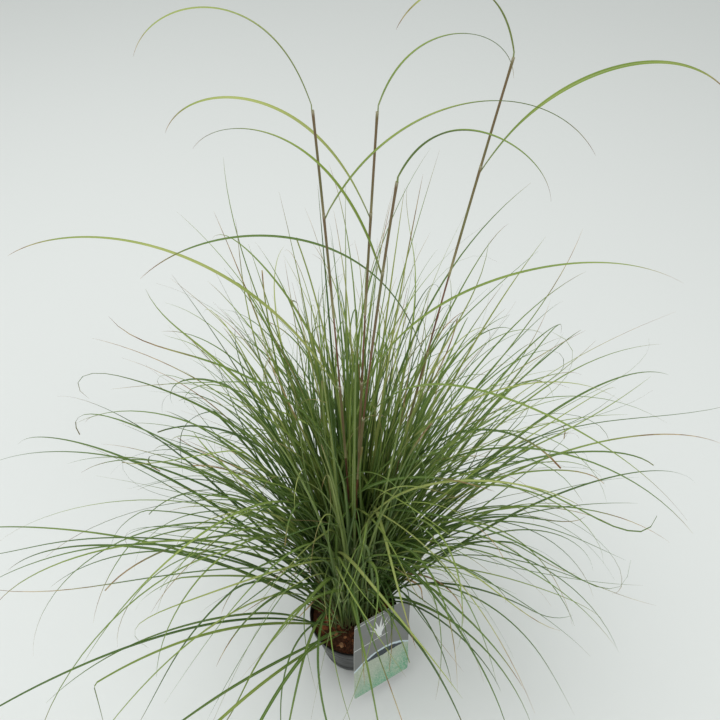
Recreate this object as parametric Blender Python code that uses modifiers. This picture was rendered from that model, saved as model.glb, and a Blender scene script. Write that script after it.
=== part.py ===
"""Potted miscanthus grass clump: a tufted grass in a round nursery pot of compost, with a picture label.

Metres, +Z up. The origin is the centre of the pot's flat bottom, and the label faces -Y.
Run with: blender --background --python part.py
"""

import math
import random

import bmesh
import bpy
from mathutils import Matrix, Vector

# Pot: a thin moulded cup with a deep banded rim
POT_HEIGHT = 0.130
RIM_RADIUS = 0.085
RIM_BAND = 0.014
RIM_STEP = 0.0028
FOOT_RADIUS = 0.061
WALL = 0.0014
POT_STEPS = 40
DRAIN_HOLES = 8
DRAIN_RADIUS = 0.0045
DRAIN_RING = 0.046

# Compost and the gap that neighbouring solids keep
SOIL_TOP = 0.115
SOIL_EDGE_DROP = 0.003
GAP = 0.0004

# Label: a stiff card hooked over the rim, leaning back over the compost and hanging a little askew
LABEL_WIDTH = 0.128
LABEL_HEIGHT = 0.178
LABEL_ABOVE_RIM = 0.086
LABEL_THICKNESS = 0.0008
LABEL_LEAN = math.radians(17.6)
LABEL_ROLL = math.radians(-13)
LABEL_CORNER = 0.004
TONGUE_WIDTH = 0.024
TONGUE_INWARDS = 0.0058
TONGUE_RISE = 0.0028

# Crown: where the grass comes out of the compost, on a sunflower spiral
CROWN_RADIUS = 0.044
GOLDEN_ANGLE = math.radians(137.508)
SPIRAL_START = math.radians(-90.5)
LABEL_AZIMUTH = math.radians(-90)
LABEL_SECTOR = math.radians(52)
LABEL_CLEAR_RADIUS = 0.022
SHOOT_COUNT = 12
BLADE_COUNT = 28
SEED = 16

# Culms: (direction of the lean, lift, direction of the lowest blade) in degrees, and the length
CULMS = (
    (86, 88.2, 142, 1.01),
    (27, 88.2, -38, 1.00),
    (-48, 88.8, -62, 0.97),
    (1, 80.6, 150, 1.05),
)
# Where each blade leaves a culm, as a share of its height, and the blade's length and bend in degrees
CULM_BLADES = ((0.62, 0.50, 105), (0.88, 0.34, 125), (1.0, 0.22, 150))
PLANT_COUNT = len(CULMS) + SHOOT_COUNT + BLADE_COUNT

# Grass pieces
PATH_STEPS = 60
BLADE_SEGMENTS = 10
STEM_SEGMENTS = 10
BLADE_THICKNESS = 0.0012
BLADE_FOLD = 0.22
TIP_SHARE = 0.2
CULM_RADIUS = 0.0021
CULM_TIP_SHARE = 0.5
SHOOT_RADIUS = 0.0032
SHOOT_TIP_SHARE = 0.25

# The steepest that a blade's hanging end gets
DROOP_LIMIT = math.radians(-82)

# Blades creased by handling: the place along each where it folds, and how far
CREASED = {6: (0.62, 1.15), 15: (0.48, 0.9), 23: (0.70, 1.3)}

COLOURS = {
    "pot_plastic": ((0.012, 0.012, 0.013), 0.32),
    "compost": ((0.085, 0.036, 0.020), 0.95),
    "label_card": ((0.42, 0.43, 0.42), 0.35),
    "culm": ((0.20, 0.085, 0.045), 0.5),
    "shoot": ((0.17, 0.27, 0.07), 0.5),
    "blade": ((0.10, 0.21, 0.06), 0.5),
}


def clear_scene():
    for thing in list(bpy.data.objects):
        bpy.data.objects.remove(thing)


def collection(name):
    group = bpy.data.collections.new(name)
    bpy.context.scene.collection.children.link(group)
    return group


def material(name):
    colour, roughness = COLOURS[name]
    found = bpy.data.materials.new(name)
    found.use_nodes = True
    shader = found.node_tree.nodes["Principled BSDF"]
    shader.inputs["Base Color"].default_value = (*colour, 1.0)
    shader.inputs["Roughness"].default_value = roughness
    shader.inputs["Metallic"].default_value = 0.0
    return found


def add(name, data, group, look=None):
    thing = bpy.data.objects.new(name, data)
    if look is not None:
        data.materials.append(look)
    group.objects.link(thing)
    return thing


def turned(name, profile, group, look):
    """A (radius, height) profile turned about the Z axis, and shaded smooth."""
    mesh = bpy.data.meshes.new(name)
    points = [(radius, 0.0, height) for radius, height in profile]
    mesh.from_pydata(points, [(i, i + 1) for i in range(len(points) - 1)], [])
    thing = add(name, mesh, group, look)
    screw = thing.modifiers.new("turn", "SCREW")
    screw.axis = "Z"
    screw.steps = POT_STEPS
    screw.render_steps = POT_STEPS
    screw.use_smooth_shade = True
    screw.use_merge_vertices = True
    screw.merge_threshold = 0.00005
    return thing


# ---- pot, compost and label ----


def wall_radius(height):
    """Outer radius of the tapered wall below the rim band."""
    share = height / (POT_HEIGHT - RIM_BAND)
    return FOOT_RADIUS + (RIM_RADIUS - RIM_STEP - FOOT_RADIUS) * share


def make_pot(group, cutters, look):
    band_foot = POT_HEIGHT - RIM_BAND
    inner_top = RIM_RADIUS - RIM_STEP - WALL * 0.6
    profile = [
        (0.0, WALL),
        (FOOT_RADIUS - 0.006, WALL),
        (FOOT_RADIUS - 0.0025, WALL + 0.0015),
        (wall_radius(0.006) - WALL, 0.006),
        (wall_radius(band_foot) - WALL, band_foot),
        (inner_top, POT_HEIGHT - 0.002),
        (inner_top + 0.0008, POT_HEIGHT),
        (RIM_RADIUS - 0.0008, POT_HEIGHT),
        (RIM_RADIUS, POT_HEIGHT - 0.001),
        (RIM_RADIUS - 0.0004, band_foot + 0.0008),
        (RIM_RADIUS - 0.0012, band_foot),
        (wall_radius(band_foot - 0.0006), band_foot - 0.0006),
        (wall_radius(0.004), 0.004),
        (FOOT_RADIUS - 0.0012, 0.001),
        (FOOT_RADIUS - 0.003, 0.0),
        (0.0, 0.0),
    ]
    pot = turned("pot", profile, group, look)
    for number in range(DRAIN_HOLES):
        angle = 2 * math.pi * (number + 0.5) / DRAIN_HOLES
        bm = bmesh.new()
        bmesh.ops.create_cone(
            bm, cap_ends=True, segments=12, radius1=DRAIN_RADIUS, radius2=DRAIN_RADIUS, depth=0.012
        )
        mesh = bpy.data.meshes.new("drain_cutter")
        bm.to_mesh(mesh)
        bm.free()
        cutter = add(f"drain_cutter_{number + 1}", mesh, cutters)
        cutter.location = (DRAIN_RING * math.cos(angle), DRAIN_RING * math.sin(angle), 0.0)
        cutter.hide_render = True
        cutter.display_type = "WIRE"
        cut = pot.modifiers.new(f"drain_{number + 1}", "BOOLEAN")
        cut.operation = "DIFFERENCE"
        cut.object = cutter
    return pot


def make_soil(group, look):
    inset = WALL + GAP
    profile = [
        (0.0, SOIL_TOP),
        (CROWN_RADIUS + 0.004, SOIL_TOP),
        (0.065, SOIL_TOP - SOIL_EDGE_DROP * 0.5),
        (wall_radius(SOIL_TOP - SOIL_EDGE_DROP) - inset, SOIL_TOP - SOIL_EDGE_DROP),
        (wall_radius(0.007) - inset, 0.007),
        (FOOT_RADIUS - 0.0075, WALL + GAP),
        (0.0, WALL + GAP),
    ]
    return turned("potting_soil", profile, group, look)


def rounded_outline(width, bottom, top, corner, steps=3):
    """Anticlockwise points of a rectangle with round corners, from bottom to top about x = 0."""
    centres = [
        (width / 2 - corner, bottom + corner, -90),
        (width / 2 - corner, top - corner, 0),
        (corner - width / 2, top - corner, 90),
        (corner - width / 2, bottom + corner, 180),
    ]
    points = []
    for x, y, start in centres:
        for k in range(steps + 1):
            angle = math.radians(start + 90 * k / steps)
            points.append((x + corner * math.cos(angle), y + corner * math.sin(angle)))
    return points


def extruded(name, outline, thickness, group):
    """A flat outline in its own XY plane, made solid to both sides of the plane."""
    curve = bpy.data.curves.new(name, "CURVE")
    curve.dimensions = "2D"
    curve.fill_mode = "BOTH"
    curve.extrude = thickness / 2
    spline = curve.splines.new("POLY")
    spline.points.add(len(outline) - 1)
    for point, (x, y) in zip(spline.points, outline):
        point.co = (x, y, 0.0, 1.0)
    spline.use_cyclic_u = True
    return add(name, curve, group)


def as_mesh(curve_object, group, look=None):
    """The curve's solid as a welded mesh object in the same place."""
    bpy.context.view_layer.update()
    evaluated = curve_object.evaluated_get(bpy.context.evaluated_depsgraph_get())
    mesh = bpy.data.meshes.new_from_object(evaluated)
    bm = bmesh.new()
    bm.from_mesh(mesh)
    bmesh.ops.remove_doubles(bm, verts=bm.verts, dist=0.00001)
    bmesh.ops.recalc_face_normals(bm, faces=bm.faces)
    bm.to_mesh(mesh)
    bm.free()
    mesh.materials.clear()
    name, place = curve_object.name, curve_object.matrix_world.copy()
    bpy.data.objects.remove(curve_object)
    solid = add(name, mesh, group, look)
    solid.matrix_world = place
    return solid


def make_label(group, cutters, look):
    """A card that touches the rim at its middle, and a tongue that hooks over the rim and down inside."""
    outline = rounded_outline(
        LABEL_WIDTH, LABEL_ABOVE_RIM - LABEL_HEIGHT, LABEL_ABOVE_RIM, LABEL_CORNER
    )
    card = as_mesh(extruded("plant_label", outline, LABEL_THICKNESS, group), group, look)
    clear = LABEL_THICKNESS / 2 + GAP
    card.matrix_world = (
        Matrix.Translation(
            (0.0, -RIM_RADIUS - clear * math.cos(LABEL_LEAN), POT_HEIGHT + clear * math.sin(LABEL_LEAN))
        )
        @ Matrix.Rotation(math.pi / 2 - LABEL_LEAN, 4, "X")
        @ Matrix.Rotation(LABEL_ROLL, 4, "Z")
    )

    # Side view of the tongue: x is the distance inwards from the rim, y the height over it
    root = TONGUE_RISE * math.tan(LABEL_LEAN) - clear
    foot = SOIL_TOP - POT_HEIGHT - 0.001
    far = TONGUE_INWARDS + LABEL_THICKNESS
    side = [
        (root, TONGUE_RISE - LABEL_THICKNESS),
        (TONGUE_INWARDS - LABEL_THICKNESS, TONGUE_RISE - LABEL_THICKNESS),
        (TONGUE_INWARDS, TONGUE_RISE - 2 * LABEL_THICKNESS),
        (TONGUE_INWARDS, foot),
        (far, foot),
        (far, TONGUE_RISE - LABEL_THICKNESS),
        (TONGUE_INWARDS, TONGUE_RISE),
        (root, TONGUE_RISE),
    ]
    tongue = as_mesh(extruded("tongue", side, TONGUE_WIDTH, cutters), cutters)
    tongue.matrix_world = Matrix.Translation((0.0, -RIM_RADIUS, POT_HEIGHT)) @ Matrix(
        ((0, 0, 1, 0), (1, 0, 0, 0), (0, 1, 0, 0), (0, 0, 0, 1))
    )
    tongue.hide_render = True
    tongue.display_type = "WIRE"
    join = card.modifiers.new("tongue", "BOOLEAN")
    join.operation = "UNION"
    join.object = tongue
    return card


# ---- grass ----


def arch_path(plan):
    """Points along a stem or blade that leaves its base at the angle lift and bends over to its tip."""
    points = [Vector(plan["base"])]
    step = plan["length"] / PATH_STEPS
    crease_at, crease = plan.get("crease", (1.0, 0.0))
    for k in range(PATH_STEPS):
        t = (k + 0.5) / PATH_STEPS
        pitch = plan["lift"] - plan["bend"] * t ** plan["power"]
        if t > crease_at:
            pitch -= crease
        pitch = max(pitch, DROOP_LIMIT)
        turn = plan["heading"] + plan["sweep"] * t * t
        direction = Vector(
            (math.cos(pitch) * math.cos(turn), math.cos(pitch) * math.sin(turn), math.sin(pitch))
        )
        points.append(points[-1] + direction * step)
    return points


def blade_width(t):
    """Share of the full width at t along a blade: narrow at the sheath, widest at a third, pointed."""
    rise = 0.62 + 0.38 * min(t / 0.3, 1.0)
    taper = 1.0 - max(t - 0.35, 0.0) / 0.65 * (1.0 - TIP_SHARE)
    return rise * taper


def stem(name, path, radius, tip_share, group, look):
    """A tapering round stem along a path."""
    curve = bpy.data.curves.new(name, "CURVE")
    curve.dimensions = "3D"
    curve.bevel_depth = radius
    curve.bevel_resolution = 1
    curve.use_fill_caps = True
    stride = PATH_STEPS // STEM_SEGMENTS
    chosen = path[::stride]
    spline = curve.splines.new("POLY")
    spline.points.add(len(chosen) - 1)
    for k, (point, place) in enumerate(zip(spline.points, chosen)):
        point.co = (*place, 1.0)
        point.radius = 1.0 - (1.0 - tip_share) * k / STEM_SEGMENTS
    return add(name, curve, group, look)


def blade(name, path, width, group, look):
    """A leaf blade: a strip with a shallow fold along its midrib, bent along a path and made solid."""
    bm = bmesh.new()
    bmesh.ops.create_grid(bm, x_segments=2, y_segments=BLADE_SEGMENTS, size=0.5)
    stride = PATH_STEPS // BLADE_SEGMENTS
    for vert in bm.verts:
        across = vert.co.x * 2
        t = vert.co.y + 0.5
        k = round(t * BLADE_SEGMENTS) * stride
        along = path[min(k + 1, PATH_STEPS)] - path[max(k - 1, 0)]
        side = Vector((along.y, -along.x, 0.0)).normalized()
        upper = side.cross(along).normalized()
        half = width * blade_width(t) / 2
        vert.co = path[k] + side * across * half + upper * abs(across) * half * BLADE_FOLD
    mesh = bpy.data.meshes.new(name)
    bm.to_mesh(mesh)
    bm.free()
    thing = add(name, mesh, group, look)
    solidify = thing.modifiers.new("thickness", "SOLIDIFY")
    solidify.thickness = BLADE_THICKNESS
    solidify.offset = 0.0
    return thing


def crown_spots():
    """Places on a sunflower spiral, as (radius, azimuth), leaving room behind the label."""
    spots = []
    number = 0
    while len(spots) < PLANT_COUNT:
        radius = CROWN_RADIUS * math.sqrt((number + 0.6) / PLANT_COUNT)
        azimuth = SPIRAL_START + number * GOLDEN_ANGLE
        off_label = abs((azimuth - LABEL_AZIMUTH + math.pi) % (2 * math.pi) - math.pi)
        number += 1
        if off_label < LABEL_SECTOR and radius > LABEL_CLEAR_RADIUS:
            continue
        spots.append((radius, azimuth))
    return spots


def mix(low, high, share):
    return low + (high - low) * share


def planted(radius, azimuth, lift, thickness):
    """The base of a piece whose lower end, leaning over, just clears the compost."""
    height = SOIL_TOP + GAP + thickness * math.cos(lift)
    return (radius * math.cos(azimuth), radius * math.sin(azimuth), height)


def plan_culm(number, radius, azimuth):
    heading, lift, _, length = CULMS[number]
    lift = math.radians(lift)
    return {
        "base": planted(radius, azimuth, lift, CULM_RADIUS),
        "heading": math.radians(heading),
        "lift": lift,
        "bend": math.radians(5),
        "power": 1.3,
        "sweep": 0.0,
        "length": length,
    }


def plan_shoot(number, radius, azimuth, dice):
    share = number / (SHOOT_COUNT - 1)
    lift = math.radians(mix(87, 79, share))
    return {
        "base": planted(radius, azimuth, lift, SHOOT_RADIUS),
        "heading": azimuth,
        "lift": lift,
        "bend": math.radians(mix(8, 26, share) + dice.uniform(-3, 3)),
        "power": 2.0,
        "sweep": dice.uniform(-0.12, 0.12),
        "length": mix(0.94, 0.78, share) + dice.uniform(-0.04, 0.04),
    }


def plan_blade(number, radius, azimuth, dice):
    """A basal blade: the inner ones stand up and arch over, the outer ones spread low."""
    share = number / (BLADE_COUNT - 1)
    lift = math.radians(mix(80, 38, share))
    plan = {
        "base": planted(radius, azimuth, lift, BLADE_THICKNESS),
        "heading": azimuth,
        "lift": lift,
        "bend": math.radians(mix(122, 84, share) + dice.uniform(-12, 12)),
        "power": dice.uniform(1.5, 2.3),
        "sweep": dice.uniform(-0.3, 0.3),
        "length": mix(0.88, 0.68, share) + dice.uniform(-0.06, 0.06),
        "width": dice.uniform(0.0042, 0.0064),
    }
    if number + 1 in CREASED:
        plan["crease"] = CREASED[number + 1]
    return plan


def plan_culm_blades(number, path, dice):
    """The blades of a culm, on alternate sides; the last one continues its top."""
    plans = []
    for order, (height_share, length, bend) in enumerate(CULM_BLADES):
        node = path[round(height_share * PATH_STEPS)]
        heading = math.radians(CULMS[number][2]) + math.pi * order + dice.uniform(-0.35, 0.35)
        if height_share < 1.0:
            clear = CULM_RADIUS + BLADE_THICKNESS + GAP
            base = node + Vector((math.cos(heading), math.sin(heading), 0.0)) * clear
        else:
            base = node + Vector((0.0, 0.0, CULM_RADIUS + GAP))
        plans.append(
            {
                "base": base,
                "heading": heading,
                "lift": math.radians(dice.uniform(62, 74)),
                "bend": math.radians(bend + dice.uniform(-18, 18)),
                "power": dice.uniform(1.2, 1.7),
                "sweep": dice.uniform(-0.2, 0.2),
                "length": length + dice.uniform(-0.04, 0.04),
                "width": dice.uniform(0.0058, 0.0074),
            }
        )
    return plans


def make_grass(group, culm_look, shoot_look, blade_look):
    dice = random.Random(SEED)
    spots = iter(crown_spots())
    culm_blades = 0
    for number in range(len(CULMS)):
        path = arch_path(plan_culm(number, *next(spots)))
        stem(f"culm_{number + 1}", path, CULM_RADIUS, CULM_TIP_SHARE, group, culm_look)
        for plan in plan_culm_blades(number, path, dice):
            culm_blades += 1
            blade(f"culm_blade_{culm_blades:02d}", arch_path(plan), plan["width"], group, blade_look)
    for number in range(SHOOT_COUNT):
        path = arch_path(plan_shoot(number, *next(spots), dice))
        stem(f"shoot_{number + 1:02d}", path, SHOOT_RADIUS, SHOOT_TIP_SHARE, group, shoot_look)
    for number in range(BLADE_COUNT):
        plan = plan_blade(number, *next(spots), dice)
        blade(f"leaf_blade_{number + 1:02d}", arch_path(plan), plan["width"], group, blade_look)


def main():
    clear_scene()
    plant = collection("potted_miscanthus")
    cutters = collection("cutters")
    looks = {name: material(name) for name in COLOURS}
    make_pot(plant, cutters, looks["pot_plastic"])
    make_soil(plant, looks["compost"])
    make_label(plant, cutters, looks["label_card"])
    make_grass(plant, looks["culm"], looks["shoot"], looks["blade"])


main()
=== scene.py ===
"""Looks of the potted miscanthus grass clump: its fine blades, tillers, canes, compost, pot and label.

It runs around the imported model, in metres, +Z up, with the pot's flat bottom at the origin.
The plans of the grass are those of part.py, so each tuft lies where the solid that it replaces does.
"""

import math
import random

import bmesh
import bpy
from mathutils import Matrix, Quaternion, Vector, noise


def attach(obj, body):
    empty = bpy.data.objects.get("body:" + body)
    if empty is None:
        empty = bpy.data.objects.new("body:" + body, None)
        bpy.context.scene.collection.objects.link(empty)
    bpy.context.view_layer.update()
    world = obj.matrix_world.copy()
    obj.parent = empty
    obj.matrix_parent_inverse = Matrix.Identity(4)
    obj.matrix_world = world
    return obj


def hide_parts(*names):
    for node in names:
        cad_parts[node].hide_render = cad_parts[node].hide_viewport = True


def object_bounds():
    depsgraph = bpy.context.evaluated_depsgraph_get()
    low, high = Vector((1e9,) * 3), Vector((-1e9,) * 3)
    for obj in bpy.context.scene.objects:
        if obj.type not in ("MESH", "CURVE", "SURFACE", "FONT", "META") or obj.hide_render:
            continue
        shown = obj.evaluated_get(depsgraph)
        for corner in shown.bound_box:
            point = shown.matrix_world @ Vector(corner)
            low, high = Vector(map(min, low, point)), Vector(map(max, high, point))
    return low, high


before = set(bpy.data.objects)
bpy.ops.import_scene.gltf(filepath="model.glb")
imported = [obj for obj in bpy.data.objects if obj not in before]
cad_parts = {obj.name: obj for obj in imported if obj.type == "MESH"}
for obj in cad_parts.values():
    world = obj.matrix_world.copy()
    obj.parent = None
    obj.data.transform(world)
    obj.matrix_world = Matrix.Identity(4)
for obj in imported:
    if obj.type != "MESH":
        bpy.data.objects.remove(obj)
CAD_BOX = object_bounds()

# ---- sizes shared with part.py ----

POT_HEIGHT = 0.130
RIM_RADIUS = 0.085
RIM_BAND = 0.014
RIM_STEP = 0.0028
FOOT_RADIUS = 0.061
WALL = 0.0014
DRAIN_HOLES = 8
DRAIN_RADIUS = 0.0045
DRAIN_RING = 0.046

SOIL_TOP = 0.115
SOIL_EDGE_DROP = 0.003
GAP = 0.0004

LABEL_WIDTH = 0.128
LABEL_HEIGHT = 0.178
LABEL_ABOVE_RIM = 0.086
LABEL_THICKNESS = 0.0008
LABEL_LEAN = math.radians(17.6)
LABEL_ROLL = math.radians(-13)
LABEL_CORNER = 0.004
TONGUE_WIDTH = 0.024
TONGUE_INWARDS = 0.0058
TONGUE_RISE = 0.0028

CROWN_RADIUS = 0.044
GOLDEN_ANGLE = math.radians(137.508)
SPIRAL_START = math.radians(-90.5)
LABEL_AZIMUTH = math.radians(-90)
LABEL_SECTOR = math.radians(52)
LABEL_CLEAR_RADIUS = 0.022
SHOOT_COUNT = 12
BLADE_COUNT = 28
SEED = 16

# Canes: (direction of the lean, lift, direction of the lowest blade) in degrees, and the length
CULMS = (
    (86, 88.2, 142, 1.01),
    (27, 88.2, -38, 1.00),
    (-48, 88.8, -62, 0.97),
    (1, 80.6, 150, 1.05),
)
# Where each blade leaves a cane, as a share of its height, and the blade's length and bend in degrees
CULM_BLADES = ((0.62, 0.50, 105), (0.88, 0.34, 125), (1.0, 0.22, 150))
PLANT_COUNT = len(CULMS) + SHOOT_COUNT + BLADE_COUNT

PATH_STEPS = 60
BLADE_THICKNESS = 0.0012
CULM_RADIUS = 0.0021
CULM_TIP_SHARE = 0.5
SHOOT_RADIUS = 0.0032
SHOOT_TIP_SHARE = 0.25
DROOP_LIMIT = math.radians(-82)
CREASED = {6: (0.62, 1.15), 15: (0.48, 0.9), 23: (0.70, 1.3)}

# ---- sizes of the looks ----

# Real blades are far thinner than their stand-in solids
LEAF_THICKNESS = 0.00034
KEEL = 0.00035
FINE_LANES = (-1.0, -0.55, 0.0, 0.55, 1.0)
PLAIN_LANES = (-1.0, 0.0, 1.0)
# Finer blades beside each basal blade where the clump is full, then leaves and finer blades of a tiller
SIDE_BLADES = 11
SHORT_SIDE_BLADES = 4
DEAD_BLADES = 1
TILLER_LEAVES = 7
TILLER_SIDE_BLADES = 48
# Places of a cane's joints, as shares of its length, and the share that a sheath wraps below its blade
CANE_JOINTS = (0.0, 0.13, 0.27, 0.40, 0.54, 0.68, 0.83)
JOINT_REACH = 0.0042
SHEATH_SHARE = 0.14
SHEATH_THICKNESS = 0.00035
# How far the stems of the looks go down into the compost
ROOTED = 0.006
# The clump grows thin towards its front, where the compost shows
THIN_AZIMUTH = math.radians(-150)
# The share of a fine blade's length after which its tip curls
CURL_START = 0.8
# Shares of a strip's column, and of the UV map's height, left beside and beyond it
COLUMN_MARGIN = 0.05
CAP_BAND = 0.01
# The direction that a tube's rings are turned from
TUBE_SEAM = Vector((0.31, 0.95, 0.0))
POT_STEPS = 144
LOOKS_SEED = 41
BARK_SEED = 7
FIBRE_SEED = 19
CHIP_COUNT = 760
LARGE_CHIP_COUNT = 130
FIBRE_COUNT = 240
FIBRE_RADIUS = 0.00022
RIB_DEPTH = 0.0002
# Heights of the two hoops round the pot's wall
HOOPS = (0.0955, 0.0225)
HOOP_DEPTH = 0.0005
LABEL_BOW = 0.0025
LABEL_CUP = 0.0012
CARD_COLUMNS = 44
CARD_ROWS = 60
FLOOR_GAP = 0.0004
FLOOR_HALF_SIDE = 60.0


# ---- plans of the grass, as in part.py ----


def mix(low, high, share):
    return low + (high - low) * share


def crown_spots():
    """Places on a sunflower spiral, as (radius, azimuth), leaving room behind the label."""
    spots = []
    number = 0
    while len(spots) < PLANT_COUNT:
        radius = CROWN_RADIUS * math.sqrt((number + 0.6) / PLANT_COUNT)
        azimuth = SPIRAL_START + number * GOLDEN_ANGLE
        off_label = abs((azimuth - LABEL_AZIMUTH + math.pi) % math.tau - math.pi)
        number += 1
        if off_label < LABEL_SECTOR and radius > LABEL_CLEAR_RADIUS:
            continue
        spots.append((radius, azimuth))
    return spots


def planted(radius, azimuth, lift, thickness):
    height = SOIL_TOP + GAP + thickness * math.cos(lift)
    return (radius * math.cos(azimuth), radius * math.sin(azimuth), height)


def arch_path(plan):
    """Points along a stem or blade that leaves its base at the angle lift and bends over to its tip."""
    points = [Vector(plan["base"])]
    step = plan["length"] / PATH_STEPS
    crease_at, crease = plan.get("crease", (1.0, 0.0))
    for k in range(PATH_STEPS):
        t = (k + 0.5) / PATH_STEPS
        pitch = plan["lift"] - plan["bend"] * t ** plan["power"]
        if t > crease_at:
            pitch -= crease
        curled = max(t - CURL_START, 0.0) / (1 - CURL_START)
        pitch = max(pitch, DROOP_LIMIT) + plan.get("curl", 0.0) * curled**2
        turn = plan["heading"] + plan["sweep"] * t * t
        direction = Vector(
            (math.cos(pitch) * math.cos(turn), math.cos(pitch) * math.sin(turn), math.sin(pitch))
        )
        points.append(points[-1] + direction * step)
    return points


def plan_culm(number, radius, azimuth):
    heading, lift, _, length = CULMS[number]
    lift = math.radians(lift)
    return {
        "base": planted(radius, azimuth, lift, CULM_RADIUS),
        "heading": math.radians(heading),
        "lift": lift,
        "bend": math.radians(5),
        "power": 1.3,
        "sweep": 0.0,
        "length": length,
    }


def plan_culm_blades(number, path, dice):
    """The blades of a cane, on alternate sides; the last one continues its top."""
    plans = []
    for order, (height_share, length, bend) in enumerate(CULM_BLADES):
        node = path[round(height_share * PATH_STEPS)]
        heading = math.radians(CULMS[number][2]) + math.pi * order + dice.uniform(-0.35, 0.35)
        if height_share < 1.0:
            clear = CULM_RADIUS + BLADE_THICKNESS + GAP
            base = node + Vector((math.cos(heading), math.sin(heading), 0.0)) * clear
        else:
            base = node + Vector((0.0, 0.0, CULM_RADIUS + GAP))
        plans.append(
            {
                "base": base,
                "heading": heading,
                "lift": math.radians(dice.uniform(62, 74)),
                "bend": math.radians(bend + dice.uniform(-18, 18)),
                "power": dice.uniform(1.2, 1.7),
                "sweep": dice.uniform(-0.2, 0.2),
                "length": length + dice.uniform(-0.04, 0.04),
                "width": dice.uniform(0.0058, 0.0074),
            }
        )
    return plans


def plan_shoot(number, radius, azimuth, dice):
    share = number / (SHOOT_COUNT - 1)
    lift = math.radians(mix(87, 79, share))
    return {
        "base": planted(radius, azimuth, lift, SHOOT_RADIUS),
        "heading": azimuth,
        "lift": lift,
        "bend": math.radians(mix(8, 26, share) + dice.uniform(-3, 3)),
        "power": 2.0,
        "sweep": dice.uniform(-0.12, 0.12),
        "length": mix(0.94, 0.78, share) + dice.uniform(-0.04, 0.04),
    }


def plan_blade(number, radius, azimuth, dice):
    """A basal blade: the inner ones stand up and arch over, the outer ones spread low."""
    share = number / (BLADE_COUNT - 1)
    lift = math.radians(mix(80, 38, share))
    plan = {
        "base": planted(radius, azimuth, lift, BLADE_THICKNESS),
        "heading": azimuth,
        "lift": lift,
        "bend": math.radians(mix(122, 84, share) + dice.uniform(-12, 12)),
        "power": dice.uniform(1.5, 2.3),
        "sweep": dice.uniform(-0.3, 0.3),
        "length": mix(0.88, 0.68, share) + dice.uniform(-0.06, 0.06),
        "width": dice.uniform(0.0042, 0.0064),
    }
    if number + 1 in CREASED:
        plan["crease"] = CREASED[number + 1]
    return plan


def plan_grass():
    """Every stem's and blade's plan, drawn in part.py's order."""
    dice = random.Random(SEED)
    spots = iter(crown_spots())
    culms, culm_blades = [], []
    for number in range(len(CULMS)):
        plan = plan_culm(number, *next(spots))
        culms.append(plan)
        culm_blades.append(plan_culm_blades(number, arch_path(plan), dice))
    shoots = [plan_shoot(number, *next(spots), dice) for number in range(SHOOT_COUNT)]
    blades = [plan_blade(number, *next(spots), dice) for number in range(BLADE_COUNT)]
    return culms, culm_blades, shoots, blades


# ---- where things may be ----


def wall_radius(height):
    """Outer radius of the pot's tapered wall below the rim band."""
    share = height / (POT_HEIGHT - RIM_BAND)
    return FOOT_RADIUS + (RIM_RADIUS - RIM_STEP - FOOT_RADIUS) * share


def label_place():
    """The label's own frame: x across it, y up it, z out of its printed face."""
    clear = LABEL_THICKNESS / 2 + GAP
    return (
        Matrix.Translation(
            (0.0, -RIM_RADIUS - clear * math.cos(LABEL_LEAN), POT_HEIGHT + clear * math.sin(LABEL_LEAN))
        )
        @ Matrix.Rotation(math.pi / 2 - LABEL_LEAN, 4, "X")
        @ Matrix.Rotation(LABEL_ROLL, 4, "Z")
    )


TO_LABEL = label_place().inverted()


def meets_label(near, far, room=0.004):
    """True where the stretch from near to far goes through the card or rubs along it."""
    a, b = TO_LABEL @ near, TO_LABEL @ far
    if min(abs(a.z), abs(b.z)) > room and a.z * b.z > 0:
        return False
    middle = (a + b) / 2
    above_foot = middle.y > LABEL_ABOVE_RIM - LABEL_HEIGHT - room
    return abs(middle.x) < LABEL_WIDTH / 2 + room and above_foot and middle.y < LABEL_ABOVE_RIM + room


def meets_pot(point):
    """True in the pot's wall, rim or compost, away from the crown."""
    radius = math.hypot(point.x, point.y)
    if radius > RIM_RADIUS + 0.005 or point.z > POT_HEIGHT + 0.004:
        return False
    over_soil = radius < wall_radius(SOIL_TOP) - 0.006 and point.z > SOIL_TOP - 0.002
    return radius > CROWN_RADIUS + 0.010 and not over_soil


def free(path, room=0.006):
    """True for a blade that stays inside the CAD model's box and off the floor, the pot and the label."""
    low, high = CAD_BOX
    for near, far in zip(path, path[1:]):
        if any(far[i] < low[i] - room or far[i] > high[i] + room for i in range(2)):
            return False
        if far.z < 0.004 or far.z > high.z:
            return False
        if meets_pot(far) or meets_label(near, far):
            return False
    return True


def fitted(plan, shortest=0.14):
    """The plan with its blade shortened until it is free, or None where there is no room for it."""
    while plan["length"] > shortest:
        if free(arch_path(plan)):
            return plan
        plan["length"] *= 0.93
    return None


# ---- meshes of grass ----


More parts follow.
